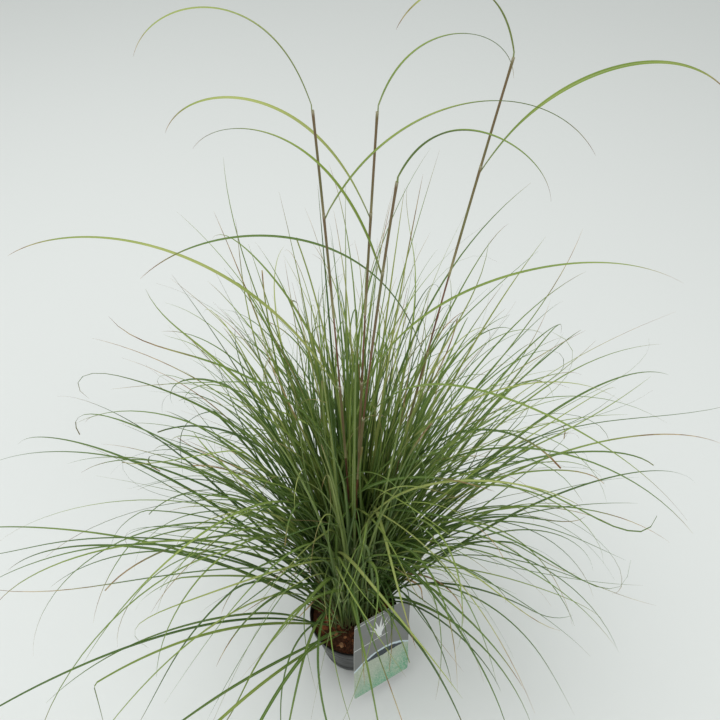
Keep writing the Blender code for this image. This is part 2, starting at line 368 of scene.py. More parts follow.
class Sheaf:
    """Collects the closed strips and tubes of one piece, with what its materials read at each point."""

    def __init__(self):
        self.points = []
        self.faces = []
        self.looks = []
        self.strips = []
        self.values = {"along": [], "across": [], "tone": [], "dry": [], "under": []}

    def rings(self, rings, look):
        """Joins rings of the same number of points, each point a place with its values."""
        first = len(self.points)
        count = len(rings[0])
        for ring in rings:
            for place, values in ring:
                self.points.append(place)
                for key, value in values.items():
                    self.values[key].append(value)
        for row in range(len(rings) - 1):
            start = first + row * count
            for k in range(count):
                following = (k + 1) % count
                above = start + count
                self.faces.append((start + k, start + following, above + following, above + k))
        last = first + (len(rings) - 1) * count
        self.faces.append(tuple(range(first + count - 1, first - 1, -1)))
        self.faces.append(tuple(range(last, last + count)))
        self.looks += [look] * ((len(rings) - 1) * count + 2)
        self.strips.append((len(rings) - 1, count))

    def lay_out(self, mesh):
        """Gives each strip a column of its own in the UV map named OFBake."""
        places = []
        for column, (rows, count) in enumerate(self.strips):
            left = (column + COLUMN_MARGIN) / len(self.strips)
            width = (1 - 2 * COLUMN_MARGIN) / len(self.strips)
            for row in range(rows):
                low, high = (mix(CAP_BAND, 1 - CAP_BAND, share / rows) for share in (row, row + 1))
                for k in range(count):
                    near, far = left + width * k / count, left + width * (k + 1) / count
                    places += [near, low, far, low, far, high, near, high]
            for middle in (CAP_BAND / 2, 1 - CAP_BAND / 2):
                for k in range(count):
                    angle = math.tau * k / count
                    places += [
                        left + width * (0.5 + 0.5 * math.cos(angle)),
                        middle + CAP_BAND / 2 * math.sin(angle),
                    ]
        mesh.uv_layers.new(name="OFBake").data.foreach_set("uv", places)

    def piece(self, name, materials, slot, *nodes):
        mesh = bpy.data.meshes.new(name)
        mesh.from_pydata(self.points, [], self.faces)
        for key, values in self.values.items():
            mesh.attributes.new(key, "FLOAT", "POINT").data.foreach_set("value", values)
        for material in materials:
            mesh.materials.append(material)
        mesh.polygons.foreach_set("material_index", self.looks)
        self.lay_out(mesh)
        mesh.shade_smooth()
        mesh.set_sharp_from_angle(angle=math.radians(62))
        place_piece(name, mesh, slot, *nodes)


def put_in_scene(name, data):
    """A new object of this mesh, light or camera."""
    thing = bpy.data.objects.new(name, data)
    bpy.context.scene.collection.objects.link(thing)
    return thing


def mesh_from(bm, name, *looks):
    """The finished bmesh as a mesh with its materials."""
    mesh = bpy.data.meshes.new(name)
    bm.to_mesh(mesh)
    bm.free()
    for look in looks:
        mesh.materials.append(look)
    return mesh


def place_piece(name, mesh, slot, *nodes):
    """Puts a piece in the scene and hides the solids that it stands for."""
    thing = put_in_scene(name, mesh)
    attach(thing, "root")
    if nodes:
        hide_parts(*nodes)


def along_path(path, t):
    place = min(max(t, 0.0), 1.0) * (len(path) - 1)
    k = min(int(place), len(path) - 2)
    return path[k].lerp(path[k + 1], place - k)


def leaf_profile(t, cut):
    """Share of the full width at t along a blade; a cut blade ends blunt."""
    rise = 0.55 + 0.45 * math.sin(min(t / 0.3, 1.0) * math.pi / 2)
    taper = 1.0 - max(t - 0.4, 0.0) / 0.6
    if cut:
        return rise * (0.45 + 0.55 * taper)
    return rise * (0.03 + 0.97 * taper**0.75)


def leaf_section(style, t, half, lanes):
    """The points round a blade of half width half at t: each one's lane, height and values."""
    fold = style["fold"] * (1.0 - 0.55 * t)
    thick = LEAF_THICKNESS * (0.35 + 0.65 * (1.0 - t))
    over = [(lane, 0.0) for lane in lanes]
    below = [(-lane, 1.0) for lane in lanes[1:-1]]
    section = []
    for lane, under in over + below:
        body = thick * (1.0 - lane * lane) / 2
        height = fold * half * abs(lane) ** 1.25
        if under:
            keel = KEEL * max(1.0 - abs(lane) * 3, 0.0) * (1.0 - t)
            height -= body + keel
        else:
            height += body
        values = {
            "along": t,
            "across": (lane + 1.0) / 2,
            "tone": style["tone"],
            "dry": style["dry"],
            "under": 0.5 if abs(lane) == 1.0 else under,
        }
        section.append((lane, height, values))
    return section


def leaf(sheaf, plan, look, style, lanes, steps, start=0.0, path=None):
    """A blade with a keel, a fold along it, some twist, and a fine point."""
    path = path or arch_path(plan)
    phase = style["phase"]
    rings = []
    for row in range(steps + 1):
        t = row / steps
        s = start + (1.0 - start) * t
        centre = along_path(path, s)
        tangent = (along_path(path, s + 0.012) - along_path(path, s - 0.012)).normalized()
        turn = plan["heading"] + plan["sweep"] * s * s
        side = Vector((math.sin(turn), -math.cos(turn), 0.0))
        upper = side.cross(tangent).normalized()
        swing = style["wander"] * math.sin(2.2 * math.pi * s + phase) * s
        centre = centre + side * swing
        roll = style["roll"] * s**1.6 + 0.22 * math.sin(5 * s + phase) * s
        spin = Quaternion(tangent, roll)
        side, upper = spin @ side, spin @ upper
        half = plan["width"] / 2 * leaf_profile(t, style["cut"])
        rings.append(
            [
                (centre + side * lane * half + upper * height, values)
                for lane, height, values in leaf_section(style, t, half, lanes)
            ]
        )
    sheaf.rings(rings, look)


def tube(sheaf, centres, radii, look, tone, sides=10, dry=0.0, flat=1.0):
    """A round or flattened stem through centres; radii are its half widths there."""
    rings = []
    last = len(centres) - 1
    for row, (centre, radius) in enumerate(zip(centres, radii)):
        tangent = (centres[min(row + 1, last)] - centres[max(row - 1, 0)]).normalized()
        side = tangent.cross(TUBE_SEAM).normalized()
        other = tangent.cross(side)
        ring = []
        for k in range(sides):
            angle = math.tau * k / sides
            out = side * math.cos(angle) + other * math.sin(angle) * flat
            values = {"along": row / last, "across": k / sides, "tone": tone, "dry": dry, "under": 0.0}
            ring.append((centre + out * radius, values))
        rings.append(ring)
    sheaf.rings(rings, look)


def unruly(plan, dice):
    """A fine blade's plan with the kinks and curled tips that handling and drying give some of them."""
    if dice.random() < 0.08:
        plan["crease"] = (dice.uniform(0.45, 0.8), dice.uniform(0.3, 0.9))
    if dice.random() < 0.35:
        plan["curl"] = dice.gauss(0.0, 1.3)
    return plan


def beside(plan, dice, spread):
    """A foot for a finer blade, spread around the foot of the stem or blade that it stands beside."""
    return Vector(plan["base"]) + Vector((dice.gauss(0, spread), dice.gauss(0, spread), -0.003))


def leaf_style(dice, tone, fold=0.5):
    """What makes one blade unlike the next."""
    return {
        "tone": min(max(tone + dice.gauss(0.0, 0.20), 0.0), 1.0),
        "dry": max(dice.gauss(0.25, 0.25), 0.0),
        "fold": max(fold + dice.gauss(0.0, 0.15), 0.1),
        "roll": dice.gauss(0.0, 0.7),
        "wander": dice.uniform(0.002, 0.006),
        "phase": dice.uniform(0.0, math.tau),
        "cut": dice.random() < 0.06,
    }


def crowding(azimuth):
    """How full the clump is in a direction, from 0 in its thin front to 1 behind."""
    return min(max(0.46 - 0.95 * math.cos(azimuth - THIN_AZIMUTH), 0.0), 1.0)


def blade_tuft(number, plan, dice, looks):
    """One basal blade with the finer ones that leave the crown around it."""
    sheaf = Sheaf()
    full = crowding(plan["heading"])
    fine = round(mix(1, SIDE_BLADES, full))
    short_blades = round(SHORT_SIDE_BLADES * full)
    dead_blades = DEAD_BLADES if full > 0.2 else 0
    style = leaf_style(dice, 0.5)
    style["cut"] = False
    leaf(sheaf, plan, 0, style, FINE_LANES, 52)
    for order in range(fine + short_blades + dead_blades):
        short = order >= fine
        dead = order >= fine + short_blades
        lift = mix(max(plan["lift"], math.radians(64)), math.radians(88), dice.uniform(0.0, 1.0))
        finer = {
            "base": beside(plan, dice, 0.005),
            "heading": plan["heading"] + dice.gauss(0.0, 0.55),
            "lift": lift,
            "bend": lift + math.radians(dice.uniform(-20, 80)),
            "power": dice.uniform(1.2, 2.6),
            "sweep": dice.gauss(0.0, 0.55),
            "length": plan["length"] * (dice.uniform(0.28, 0.6) if short else dice.uniform(0.6, 1.04)),
            "width": dice.uniform(0.0026, 0.0054),
        }
        style = leaf_style(dice, 0.5)
        style["wander"] *= 1.8
        if dead:
            finer["length"] *= 0.7
            finer["bend"] *= 1.3
            style["dry"] = 4.0
            style["roll"] *= 2.5
        finer = fitted(unruly(finer, dice))
        if finer:
            leaf(sheaf, finer, 0, style, PLAIN_LANES, 22 if short else 40)
    sheaf.piece(
        f"blade_tuft_{number + 1:02d}", (looks["blade"],), "blade", f"leaf_blade_{number + 1:02d}"
    )


def tiller(number, plan, dice, looks):
    """An upright shoot: its rolled spear, sheaths one over another, and blades on alternate sides."""
    sheaf = Sheaf()
    path = arch_path(plan)
    fan = plan["heading"] + dice.uniform(-0.8, 0.8)
    spear = dict(plan, width=0.0046)
    style = leaf_style(dice, 0.6, fold=1.1)
    style.update(cut=False, roll=0.3, wander=0.001)
    leaf(sheaf, spear, 0, style, FINE_LANES, 40, start=0.2)
    root = Vector(plan["base"]) - (path[1] - path[0]).normalized() * ROOTED
    for order in range(TILLER_LEAVES):
        top = 0.055 + 0.049 * order + dice.uniform(-0.010, 0.010)
        foot = max(top - 0.17, 0.0)
        shares = [k / 8 for k in range(9)]
        centres = [along_path(path, mix(foot, top, share)) for share in shares]
        if foot == 0.0:
            centres[0] = root
        wide = SHOOT_RADIUS * mix(1.0, 0.5, order / TILLER_LEAVES)
        radii = [wide * mix(1.0, 0.82, share) for share in shares]
        tube(sheaf, centres, radii, 1, style["tone"], dry=dice.uniform(0.0, 0.45), flat=0.78)
        node = centres[-1]
        heading = fan + math.pi * order + dice.gauss(0.0, 0.3)
        out = {
            "base": node + Vector((math.cos(heading), math.sin(heading), 0.0)) * wide * 0.6,
            "heading": heading,
            "lift": math.radians(dice.uniform(70, 84)),
            "bend": math.radians(dice.uniform(70, 128)),
            "power": dice.uniform(1.3, 2.2),
            "sweep": dice.gauss(0.0, 0.45),
            "length": plan["length"] * dice.uniform(0.42, 0.74),
            "width": dice.uniform(0.0038, 0.0060),
        }
        out = fitted(unruly(out, dice))
        if out:
            leaf(sheaf, out, 0, leaf_style(dice, 0.55), PLAIN_LANES, 34)
    for _ in range(round(TILLER_SIDE_BLADES * mix(0.3, 1.0, crowding(plan["heading"])))):
        arching = dice.random() < 0.45
        finer = {
            "base": beside(plan, dice, 0.007),
            "heading": plan["heading"] + dice.gauss(0.0, 1.2),
            "lift": math.radians(dice.uniform(80, 89)),
            "bend": math.radians(dice.uniform(70, 150) if arching else dice.uniform(-4, 60)),
            "power": dice.uniform(1.6, 3.6),
            "sweep": dice.gauss(0.0, 0.7),
            "length": plan["length"] * (dice.uniform(0.48, 0.96) if arching else dice.uniform(0.62, 1.03)),
            "width": dice.uniform(0.0030, 0.0052),
        }
        finer = fitted(unruly(finer, dice))
        if finer:
            leaf(sheaf, finer, 0, leaf_style(dice, 0.6), PLAIN_LANES, 40)
    materials = (looks["blade"], looks["sheath"])
    sheaf.piece(f"tiller_{number + 1:02d}", materials, "shoot", f"shoot_{number + 1:02d}")


def cane(number, plan, dice, looks):
    """A jointed cane with swollen nodes, wrapped by the sheaths that its blades grow from."""
    sheaf = Sheaf()
    path = arch_path(plan)
    rows = 150
    centres, radii = [], []
    for row in range(rows + 1):
        t = row / rows
        centres.append(along_path(path, t))
        radius = CULM_RADIUS * mix(1.0, CULM_TIP_SHARE, t)
        swelling = max(math.exp(-(((t - joint) / JOINT_REACH) ** 2)) for joint in CANE_JOINTS)
        radii.append(radius * (0.88 + 0.34 * swelling))
    centres[0] = centres[0] - Vector((0.0, 0.0, ROOTED))
    tube(sheaf, centres, radii, 0, 0.5, sides=12)
    wrap_rows = 14
    for height_share, _, _ in CULM_BLADES:
        foot = height_share - SHEATH_SHARE
        top = min(height_share + 0.004, 1.0)
        wrap, widths = [], []
        for k in range(wrap_rows + 1):
            t = mix(foot, top, k / wrap_rows)
            swell = 1.0 + 0.22 * math.exp(-(((k - wrap_rows) / 1.2) ** 2))
            wrap.append(along_path(path, t))
            widths.append((CULM_RADIUS * mix(1.0, CULM_TIP_SHARE, t) + SHEATH_THICKNESS) * swell)
        tube(sheaf, wrap, widths, 1, dice.uniform(0.2, 0.8), sides=12, dry=0.85)
    sheaf.piece(f"cane_{number + 1}", (looks["cane"], looks["sheath"]), "culm", f"culm_{number + 1}")


def cane_leaf(number, plan, stem, dice, looks):
    """A cane's blade, drawn in to the sheath that it leaves."""
    sheaf = Sheaf()
    path = arch_path(plan)
    style = leaf_style(dice, 0.62, fold=0.42)
    style.update(cut=False, dry=0.5)
    out = Vector((math.cos(plan["heading"]), math.sin(plan["heading"]), 0.0))
    path[0] = stem + out * 0.0008 - Vector((0.0, 0.0, 0.004))
    leaf(sheaf, dict(plan, width=plan["width"] * 0.8), 0, style, FINE_LANES, 60, path=path)
    sheaf.piece(f"cane_leaf_{number:02d}", (looks["blade"],), "blade", f"culm_blade_{number:02d}")


def grass(looks):
    dice = random.Random(LOOKS_SEED)
    culms, culm_blades, shoots, blades = plan_grass()
    leaf_number = 0
    for number, plan in enumerate(culms):
        cane(number, plan, dice, looks)
        path = arch_path(plan)
        for (height_share, _, _), blade_plan in zip(CULM_BLADES, culm_blades[number]):
            leaf_number += 1
            cane_leaf(leaf_number, blade_plan, along_path(path, height_share), dice, looks)
    for number, plan in enumerate(shoots):
        tiller(number, plan, dice, looks)
    for number, plan in enumerate(blades):
        blade_tuft(number, plan, dice, looks)


# ---- nodes ----


class Nodes:
    """Short names for the nodes of one material."""

    def __init__(self, name, roughness=0.5, specular=0.5):
        self.material = bpy.data.materials.new(name)
        self.material.use_nodes = True
        self.tree = self.material.node_tree
        self.shader = self.tree.nodes["Principled BSDF"]
        self.shader.inputs["Roughness"].default_value = roughness
        self.shader.inputs["Specular IOR Level"].default_value = specular

    def put(self, socket, value):
        """Links a node's output to a socket, or sets the socket to a number, vector or colour."""
        if isinstance(value, bpy.types.NodeSocket):
            self.tree.links.new(value, socket)
        elif socket.type == "RGBA":
            socket.default_value = (*value, 1.0)
        else:
            socket.default_value = value

    def node(self, kind, **values):
        """A new node with values for its sockets, named with _ for each space."""
        made = self.tree.nodes.new("ShaderNode" + kind)
        for name, value in values.items():
            self.put(made.inputs[name.replace("_", " ")], value)
        return made

    def attribute(self, name):
        made = self.node("Attribute")
        made.attribute_name = name
        return made.outputs["Fac"]

    def place(self):
        return self.node("TexCoord").outputs["Object"]

    def height(self):
        return self.node("SeparateXYZ", Vector=self.place()).outputs["Z"]

    def stretched(self, scale):
        """The place, scaled along each axis for a noise that is stretched."""
        return self.node("Mapping", Vector=self.place(), Scale=scale).outputs["Vector"]

    def noise(self, scale, detail=3.0, vector=None, rough=0.55):
        vector = vector or self.place()
        made = self.node("TexNoise", Vector=vector, Scale=scale, Detail=detail, Roughness=rough)
        return made.outputs["Fac"]

    def calc(self, operation, *values, clamp=False):
        made = self.node("Math")
        made.operation = operation
        made.use_clamp = clamp
        for socket, value in zip(made.inputs, values):
            self.put(socket, value)
        return made.outputs["Value"]

    def plus(self, a, b):
        return self.calc("ADD", a, b)

    def minus(self, a, b):
        return self.calc("SUBTRACT", a, b)

    def times(self, a, b):
        return self.calc("MULTIPLY", a, b)

    def ramp(self, value, *stops):
        """A colour ramp; each stop is a position and a colour."""
        made = self.node("ValToRGB", Fac=value)
        elements = made.color_ramp.elements
        while len(elements) < len(stops):
            elements.new(0.5)
        for element, (position, colour) in zip(elements, stops):
            element.position = position
            element.color = (*colour, 1.0)
        return made.outputs["Color"]

    def step(self, value, low, high, to_low=0.0, to_high=1.0):
        """A smooth step of value from low to high."""
        made = self.node("MapRange", Value=value, From_Min=low, From_Max=high, To_Min=to_low, To_Max=to_high)
        made.interpolation_type = "SMOOTHSTEP"
        return made.outputs["Result"]

    def mix(self, share, low, high):
        """Colours low and high mixed by share."""
        made = self.node("Mix")
        made.data_type = "RGBA"
        for index, value in ((0, share), (6, low), (7, high)):
            self.put(made.inputs[index], value)
        return made.outputs[2]

    def colour(self, value):
        self.put(self.shader.inputs["Base Color"], value)

    def rough(self, value):
        self.put(self.shader.inputs["Roughness"], value)

    def bump(self, height, strength, distance):
        made = self.node("Bump", Height=height, Strength=strength, Distance=distance)
        self.put(self.shader.inputs["Normal"], made.outputs["Normal"])


def ribbed(nodes, base, pitch, share, crest, strength):
    """The colour base with fine ribs along a blade or stem: paler crests and a bump."""
    ribs = nodes.calc("SINE", nodes.times(nodes.attribute("across"), pitch))
    nodes.bump(ribs, strength, RIB_DEPTH)
    return nodes.mix(nodes.step(ribs, -1.0, 1.0, 0.0, share), base, crest)


def blade_material():
    """Fine green blade with a pale midrib, veins, a paler underside, a dry tip, and painted light that makes
    it paler higher up.
    """
    nodes = Nodes("grass_blade", roughness=0.5, specular=0.2)
    along, across = nodes.attribute("along"), nodes.attribute("across")
    tone, dry, under = nodes.attribute("tone"), nodes.attribute("dry"), nodes.attribute("under")
    patches = nodes.noise(7.0, 2.0)
    shade = nodes.plus(tone, nodes.times(nodes.minus(patches, 0.5), 0.6))
    # Painted light: the blade is painted paler the higher it stands, in place of the light that falls more
    # on the clump's upper parts.
    shade = nodes.plus(shade, nodes.step(nodes.height(), 0.15, 0.95, -0.08, 0.18))
    green = nodes.ramp(
        shade,
        (0.0, (0.012, 0.048, 0.003)),
        (0.35, (0.038, 0.100, 0.007)),
        (0.62, (0.102, 0.182, 0.017)),
        (0.85, (0.215, 0.292, 0.044)),
        (1.0, (0.360, 0.405, 0.110)),
    )
    underside = nodes.mix(nodes.times(under, 0.5), green, (0.125, 0.185, 0.070))
    base = nodes.mix(nodes.step(along, 0.0, 0.10, 0.75, 0.0), underside, (0.30, 0.34, 0.14))
    from_middle = nodes.calc("ABSOLUTE", nodes.minus(across, 0.5))
    midrib = nodes.step(from_middle, 0.030, 0.075, 0.65, 0.0)
    midribbed = nodes.mix(midrib, base, (0.36, 0.41, 0.24))
    veined = ribbed(nodes, midribbed, 75.0, 0.14, (0.24, 0.31, 0.13), 0.25)
    speckle = nodes.noise(55.0, 3.0)
    tip = nodes.plus(along, nodes.times(nodes.minus(speckle, 0.5), 0.16))
    start = nodes.minus(1.0, nodes.times(dry, 0.30))
    dried = nodes.calc("MULTIPLY", nodes.minus(tip, start), 9.0, clamp=True)
    straw = nodes.mix(nodes.step(speckle, 0.35, 0.65), (0.46, 0.34, 0.17), (0.20, 0.11, 0.045))
    nodes.colour(nodes.mix(dried, veined, straw))
    nodes.rough(nodes.step(speckle, 0.2, 0.8, 0.42, 0.62))
    return nodes.material


def sheath_material():
    """Leaf sheaths: ribbed pale green, straw at the foot with a purple flush."""
    nodes = Nodes("grass_sheath", roughness=0.45, specular=0.4)
    along = nodes.attribute("along")
    green = nodes.ramp(nodes.attribute("tone"), (0.0, (0.08, 0.14, 0.025)), (1.0, (0.21, 0.27, 0.075)))
    blotches = nodes.step(nodes.noise(14.0), 0.3, 0.6, 0.55, 1.0)
    flush = nodes.times(nodes.attribute("dry"), blotches)
    green = nodes.mix(flush, green, (0.150, 0.055, 0.032))
    foot = nodes.mix(nodes.step(nodes.noise(30.0), 0.4, 0.7), (0.36, 0.33, 0.16), (0.16, 0.055, 0.045))
    pale = nodes.mix(nodes.step(along, 0.0, 0.4, 0.85, 0.0), green, foot)
    ribs = ribbed(nodes, pale, 100.0, 0.22, (0.42, 0.46, 0.24), 0.3)
    edge = nodes.step(along, 0.95, 1.0, 0.0, 0.6)
    nodes.colour(nodes.mix(edge, ribs, (0.50, 0.48, 0.33)))
    return nodes.material


def cane_material():
    """Reddish brown, streaked and ribbed along, and greener towards the top."""
    nodes = Nodes("grass_cane", roughness=0.36, specular=0.5)
    streaks = nodes.noise(40.0, 4.0, nodes.stretched((1.0, 1.0, 0.08)))
    brown = nodes.ramp(
        streaks, (0.25, (0.075, 0.022, 0.014)), (0.5, (0.17, 0.058, 0.030)), (0.75, (0.30, 0.16, 0.075))
    )
    upwards = nodes.step(nodes.attribute("along"), 0.4, 1.0, 0.0, 0.25)
    greener = nodes.mix(upwards, brown, (0.22, 0.17, 0.06))
    nodes.colour(ribbed(nodes, greener, 110.0, 0.12, (0.40, 0.24, 0.14), 0.2))
    return nodes.material


# ---- compost ----


def soil_material():
    nodes = Nodes("dark_compost", roughness=0.95, specular=0.2)
    crumbs = nodes.noise(160.0, 6.0, rough=0.7)
    clods = nodes.noise(38.0, 4.0)
    dark = nodes.ramp(
        crumbs, (0.30, (0.018, 0.007, 0.004)), (0.52, (0.070, 0.027, 0.014)), (0.75, (0.20, 0.085, 0.042))
    )
    nodes.colour(nodes.mix(nodes.step(clods, 0.4, 0.7, 0.0, 0.5), dark, (0.140, 0.048, 0.022)))
    nodes.bump(nodes.plus(crumbs, nodes.times(clods, 0.8)), 0.9, 0.002)
    return nodes.material


def bark_material():
    """Bark and coir chips, each of its own brown, read from the attribute tone."""
    nodes = Nodes("bark_chip", roughness=0.85, specular=0.25)
    tone = nodes.attribute("tone")
    grain = nodes.noise(220.0, 5.0, nodes.stretched((1.0, 0.35, 1.0)), rough=0.65)
    brown = nodes.ramp(
        tone,
        (0.0, (0.030, 0.010, 0.006)),
        (0.35, (0.115, 0.034, 0.014)),
        (0.7, (0.280, 0.088, 0.030)),
        (0.9, (0.480, 0.190, 0.070)),
        (1.0, (0.560, 0.340, 0.190)),
    )
    nodes.colour(nodes.mix(nodes.step(grain, 0.35, 0.65, 0.0, 0.55), brown, (0.020, 0.008, 0.005)))
    nodes.bump(grain, 0.8, 0.001)
    return nodes.material


def fibre_material():
    nodes = Nodes("coir_fibre", roughness=0.7, specular=0.3)
    brown = nodes.ramp(
        nodes.attribute("tone"),
        (0.0, (0.07, 0.028, 0.012)),
        (0.6, (0.22, 0.105, 0.045)),
        (1.0, (0.46, 0.36, 0.22)),
    )
    nodes.colour(brown)
    return nodes.material


def soil_height(x, y):
    """The compost's uneven surface over the point (x, y)."""
    radius = math.hypot(x, y)
    edge = SOIL_TOP - SOIL_EDGE_DROP * min(max((radius - CROWN_RADIUS) / 0.03, 0.0), 1.0)
    lumps = noise.fractal(Vector((x * 55, y * 55, 3.1)), 1.0, 2.1, 4)
    return edge + 0.0022 * lumps + 0.0012 * noise.noise(Vector((x * 260, y * 260, 0.0)))


def compost(look):
    """The plug of compost: a lumpy top on the taper that the pot moulds."""
    ring_count, sides = 46, 150
    rings = []
    reach = wall_radius(SOIL_TOP - SOIL_EDGE_DROP) - WALL - GAP
    turns = [math.tau * k / sides for k in range(sides)]
    bm = bmesh.new()
    centre = bm.verts.new((0.0, 0.0, soil_height(0.0, 0.0)))
    for ring in range(1, ring_count + 1):
        radius = reach * ring / ring_count
        places = [(radius * math.cos(turn), radius * math.sin(turn)) for turn in turns]
        rings.append([bm.verts.new((x, y, soil_height(x, y))) for x, y in places])
    for height, inset in ((0.085, 0.0), (0.045, 0.0), (0.010, 0.0), (WALL + GAP, 0.004)):
        radius = wall_radius(height) - WALL - GAP - inset
        rings.append(
            [bm.verts.new((radius * math.cos(turn), radius * math.sin(turn), height)) for turn in turns]
        )
    for k in range(sides):
        following = (k + 1) % sides
        bm.faces.new((centre, rings[0][k], rings[0][following]))
        for inner, outer in zip(rings, rings[1:]):
            bm.faces.new((inner[k], outer[k], outer[following], inner[following]))
    bm.faces.new(list(reversed(rings[-1])))
    mesh = mesh_from(bm, "compost_plug", look)
    mesh.shade_smooth()
    place_piece("compost_plug", mesh, "compost", "potting_soil")


def scatter_spot(dice, reach):
    """A random place on the compost within reach of its middle."""
    radius = reach * math.sqrt(dice.random())
    angle = dice.uniform(0.0, math.tau)
    return radius * math.cos(angle), radius * math.sin(angle)


def bark_chips(look):
    """Angular chips of bark and coir lying on the compost, some of them half sunk."""
    dice = random.Random(BARK_SEED)
    bm = bmesh.new()
    tone_layer = bm.verts.layers.float.new("tone")
    for number in range(CHIP_COUNT):
        large = number < LARGE_CHIP_COUNT
        long = dice.uniform(0.007, 0.016) if large else dice.uniform(0.002, 0.006)
        wide = long * dice.uniform(0.35, 0.8)
        deep = long * dice.uniform(0.14, 0.35)
        x, y = scatter_spot(dice, 0.068 if large else 0.074)
        tone = min(max(dice.gauss(0.70 if large else 0.5, 0.22), 0.0), 1.0)
        made = bmesh.ops.create_icosphere(bm, subdivisions=2 if large else 1, radius=1.0)["verts"]
        spin = Matrix.Rotation(dice.uniform(0, math.tau), 3, "Z")
        turn = spin @ Matrix.Rotation(dice.gauss(0.0, 0.4), 3, "X")
        seed = Vector((number * 3.7, 0.0, 0.0))
        for vert in made:
            rough = 1.0 + 0.45 * noise.noise(vert.co * 1.3 + seed)
            place = Vector((vert.co.x * long / 2, vert.co.y * wide / 2, vert.co.z * deep / 2)) * rough
            vert.co = turn @ place + Vector((x, y, soil_height(x, y) + deep * 0.25))
            vert[tone_layer] = tone
    mesh = mesh_from(bm, "bark_chips", look)
    mesh.set_sharp_from_angle(angle=math.radians(30))
    place_piece("bark_chips", mesh, "compost")


def coir_fibres(look):
    """Loose fibres and fine roots that curl over the compost."""
    dice = random.Random(FIBRE_SEED)
    sheaf = Sheaf()
    for _ in range(FIBRE_COUNT):
        x, y = scatter_spot(dice, 0.066)
        heading = dice.uniform(0, math.tau)
        curl = dice.gauss(0.0, 60)
        length = dice.uniform(0.006, 0.022)
        tone = dice.random()
        centres, radii = [], []
        for k in range(9):
            s = k / 8
            angle = heading + curl * s * length
            x += math.cos(angle) * length / 8
            y += math.sin(angle) * length / 8
            hump = 0.0003 + 0.0016 * math.sin(s * math.pi) * dice.uniform(0.8, 1.2)
            centres.append(Vector((x, y, soil_height(x, y) + hump)))
            radii.append(FIBRE_RADIUS * (1.0 - 0.6 * s))
        if max(math.hypot(c.x, c.y) for c in centres) < 0.0765:
            tube(sheaf, centres, radii, 0, tone, sides=5)
    sheaf.piece("coir_fibres", (look,), "compost")


# ---- pot ----


def pot_material():
    """Black moulded plastic with fine flow marks, handling scuffs and a little dust in patches."""
    nodes = Nodes("pot_plastic", roughness=0.4, specular=0.24)
    flow = nodes.noise(26.0, 4.0, nodes.stretched((1.0, 1.0, 6.0)))
    scuffs = nodes.noise(90.0, 5.0, nodes.stretched((1.0, 1.0, 0.3)), rough=0.7)
    dust = nodes.noise(18.0, 5.0)
    dusty = nodes.step(dust, 0.55, 0.8, 0.0, 0.22)
    black = nodes.mix(dusty, (0.0035, 0.0038, 0.0036), (0.030, 0.024, 0.018))
    nodes.colour(nodes.mix(nodes.step(scuffs, 0.62, 0.72, 0.0, 0.35), black, (0.030, 0.031, 0.030)))
    nodes.rough(nodes.step(flow, 0.3, 0.7, 0.24, 0.40))
    nodes.bump(flow, 0.05, 0.0004)
    return nodes.material


def pot_profile():
    """Half of the pot's section, as (radius, height): floor, wall, banded lip, step, hoops and foot."""
    band_foot = POT_HEIGHT - RIM_BAND
    inner_top = RIM_RADIUS - RIM_STEP - WALL * 0.6
    lip = 0.0007
    profile = [(0.0, WALL), (0.030, WALL)]
    profile += [(FOOT_RADIUS - 0.008, WALL), (FOOT_RADIUS - 0.004, WALL + 0.0006)]
    profile += [(wall_radius(0.006) - WALL, 0.006), (wall_radius(0.06) - WALL, 0.06)]
    profile += [(wall_radius(band_foot) - WALL, band_foot), (inner_top, POT_HEIGHT - 0.002)]
    profile += [(inner_top + 0.0003, POT_HEIGHT - 0.0006), (inner_top + 0.001, POT_HEIGHT)]
    for k in range(6):
        angle = math.pi / 2 * (1 - k / 5)
        profile.append(
            (RIM_RADIUS - lip + lip * math.cos(angle), POT_HEIGHT - lip + lip * math.sin(angle))
        )
    profile += [(RIM_RADIUS - 0.0002, POT_HEIGHT - 0.006), (RIM_RADIUS - 0.0004, band_foot + 0.0012)]
    profile += [(RIM_RADIUS - 0.0008, band_foot + 0.0003), (RIM_RADIUS - 0.0014, band_foot)]
    profile += [(wall_radius(band_foot) + 0.0003, band_foot - 0.0004)]
    for height in (0.112, 0.100, 0.097, 0.0955, 0.094, 0.080, 0.060, 0.040, 0.024, 0.0225, 0.021, 0.010):
        hoop = HOOP_DEPTH if height in HOOPS else 0.0
        profile.append((wall_radius(height) + hoop, height))
    profile += [(wall_radius(0.004), 0.004), (FOOT_RADIUS - 0.0003, 0.0022), (FOOT_RADIUS - 0.0012, 0.0008)]
    profile += [(FOOT_RADIUS - 0.003, 0.0), (0.040, 0.0), (0.0, 0.0)]
    return profile


def drain_cutters():
    """Short rods through the pot's floor, one for each drainage hole."""
    bm = bmesh.new()
    bmesh.ops.create_cone(
        bm, cap_ends=True, segments=24, radius1=DRAIN_RADIUS, radius2=DRAIN_RADIUS, depth=0.012
    )
    rod = mesh_from(bm, "drain_cutter")
    cutters = []
    for number in range(DRAIN_HOLES):
        angle = math.tau * (number + 0.5) / DRAIN_HOLES
        cutter = put_in_scene("drain_cutter", rod)
        cutter.location = (DRAIN_RING * math.cos(angle), DRAIN_RING * math.sin(angle), 0.0)
        cutters.append(cutter)
    return cutters


